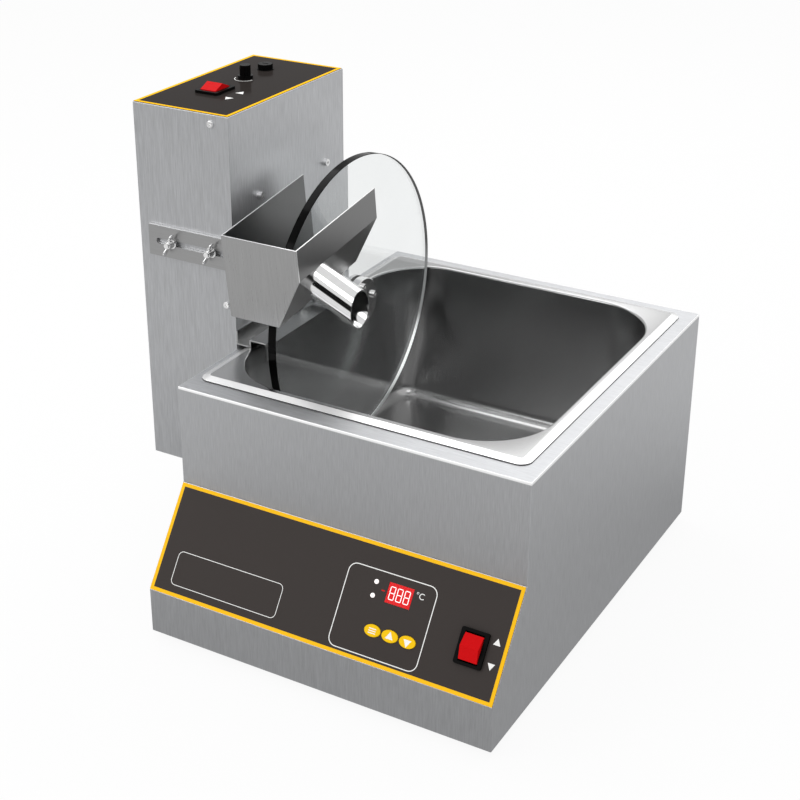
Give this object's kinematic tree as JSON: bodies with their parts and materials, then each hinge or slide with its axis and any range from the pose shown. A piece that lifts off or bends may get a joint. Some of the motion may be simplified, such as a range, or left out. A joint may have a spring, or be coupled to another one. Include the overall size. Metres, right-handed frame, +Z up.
{
  "type": "chocolate melting machine",
  "caption": "Table-top chocolate melter with a heated gastronorm pan and a lift-off mixing tower that turns a clear disc under a clamped chute and spout.",
  "frame": {"origin": "on the table, in the middle of the ground that the melter and the tower cover together", "axes": "+X to the right as seen from the console, +Y to the back, +Z up"},
  "size_m": [0.4542, 0.449, 0.467],
  "materials": {
    "stainless": "brushed with a fine upright grain",
    "pan_steel": "satin drawn stainless steel",
    "polished_steel": "mirror polished stainless steel",
    "screw_steel": "bright screws",
    "cast_aluminium": "plain mill finish",
    "rubber": "moulded, matt",
    "heater_silicone": "moulded silicone",
    "insulation_wool": "mineral wool",
    "sensor_metal": "plain",
    "cutout_resin": "moulded resin",
    "overlay_film": "printed film with a soft gloss",
    "display_red": "clear red window",
    "lamp_clear": "clear lens",
    "button_yellow": "soft gloss",
    "black_plastic": "moulded, soft gloss",
    "rocker_red": "moulded, gloss",
    "circuit_board": "lacquered board",
    "nylon": "moulded",
    "motor_paint": "grey paint",
    "bush_bronze": "sintered bronze",
    "disc_clear": "clear, polished faces",
    "scraper_plastic": "milled food-grade plastic"
  },
  "bodies": {
    "melter": {"casing_shell": "stainless", "base_plate": "stainless", "feet": "rubber", "foot_screws": "screw_steel", "base_screws": "screw_steel", "melting_pan": "pan_steel", "heating_well": "cast_aluminium", "heater_pads": "heater_silicone", "insulation": "insulation_wool", "support_rails": "stainless", "temperature_sensor": "sensor_metal", "thermal_cutout": "cutout_resin", "console_overlay": "overlay_film", "controller_board": "circuit_board", "board_pillars": "nylon", "display_window": "display_red", "status_lamps": "lamp_clear", "melter_switch_frame": "black_plastic", "melter_inlet": "black_plastic", "melter_inlet_screws": "screw_steel"},
    "set_button": {"set_button": "button_yellow"},
    "up_button": {"up_button": "button_yellow"},
    "down_button": {"down_button": "button_yellow"},
    "melter_rocker": {"melter_rocker": "rocker_red"},
    "mixer": {"tower_cover": "stainless", "tower_side_plate": "stainless", "tower_base_tray": "stainless", "cover_screws": "screw_steel", "tower_overlay": "overlay_film", "tower_switch_frame": "black_plastic", "potentiometer": "sensor_metal", "fuse_holder": "black_plastic", "motor_plate": "cast_aluminium", "motor_screws": "screw_steel", "gear_motor": "motor_paint", "shaft_bush": "bush_bronze", "speed_board": "circuit_board", "speed_board_pillars": "nylon", "tower_inlet": "black_plastic", "tower_inlet_screws": "screw_steel", "hanger_saddle": "stainless", "tower_buffers": "rubber", "clamp_studs": "polished_steel"},
    "wheel": {"drive_shaft": "polished_steel", "rear_flange": "polished_steel", "mixing_disc": "disc_clear", "front_flange": "polished_steel", "hub_screws": "polished_steel"},
    "chute": {"chute_arm": "stainless", "chute_front": "stainless", "chute_left_wall": "stainless", "chute_right_wall": "stainless", "chute_spout": "polished_steel", "chute_scraper": "scraper_plastic"},
    "left_wing_nut": {"left_wing_nut": "polished_steel"},
    "right_wing_nut": {"right_wing_nut": "polished_steel"},
    "tower_rocker": {"tower_rocker": "rocker_red"},
    "speed_knob": {"speed_knob": "black_plastic"},
    "fuse_cap": {"fuse_cap": "black_plastic"}
  },
  "joints": [
    {"name": "mixer_lift", "type": "slide", "parent": "melter", "child": "mixer", "axis": [0, 0, 1], "range_m": [0, 0.16]},
    {"name": "wheel_turn", "type": "hinge", "parent": "mixer", "child": "wheel", "pos_m": [-0.05565, 0.03703, 0.2532], "axis": [1, 0, 0], "continuous": true},
    {"name": "chute_slide", "type": "slide", "parent": "mixer", "child": "chute", "axis": [1, 0, 0], "range_m": [0, 0.015]},
    {"name": "left_nut_turn", "type": "hinge", "parent": "mixer", "child": "left_wing_nut", "pos_m": [-0.1866, -0.07497, 0.3238], "axis": [0, -1, 0], "range_deg": [0, 360]},
    {"name": "right_nut_turn", "type": "hinge", "parent": "mixer", "child": "right_wing_nut", "pos_m": [-0.1416, -0.07497, 0.3238], "axis": [0, -1, 0], "range_deg": [0, 360]},
    {"name": "tower_rocker_tip", "type": "hinge", "parent": "mixer", "child": "tower_rocker", "pos_m": [-0.18, -0.00677, 0.4512], "axis": [1, 0, 0], "range_deg": [-10, 10]},
    {"name": "speed_knob_turn", "type": "hinge", "parent": "mixer", "child": "speed_knob", "pos_m": [-0.18, 0.04253, 0.4532], "axis": [0, 0, 1], "range_deg": [-140, 140]},
    {"name": "fuse_cap_turn", "type": "hinge", "parent": "mixer", "child": "fuse_cap", "pos_m": [-0.1825, 0.08033, 0.4532], "axis": [0, 0, 1], "range_deg": [0, 90]},
    {"name": "melter_rocker_tip", "type": "hinge", "parent": "melter", "child": "melter_rocker", "pos_m": [0.1963, -0.19956, 0.08416], "axis": [1, 0, 0], "range_deg": [-10, 10]},
    {"name": "set_button_press", "type": "slide", "parent": "melter", "child": "set_button", "axis": [0, 0.8197, -0.5728], "range_m": [0, 0.0008], "stiffness_N_per_m": 600, "springref_m": -0.0005},
    {"name": "up_button_press", "type": "slide", "parent": "melter", "child": "up_button", "axis": [0, 0.8197, -0.5728], "range_m": [0, 0.0008], "stiffness_N_per_m": 600, "springref_m": -0.0005},
    {"name": "down_button_press", "type": "slide", "parent": "melter", "child": "down_button", "axis": [0, 0.8197, -0.5728], "range_m": [0, 0.0008], "stiffness_N_per_m": 600, "springref_m": -0.0005}
  ]
}
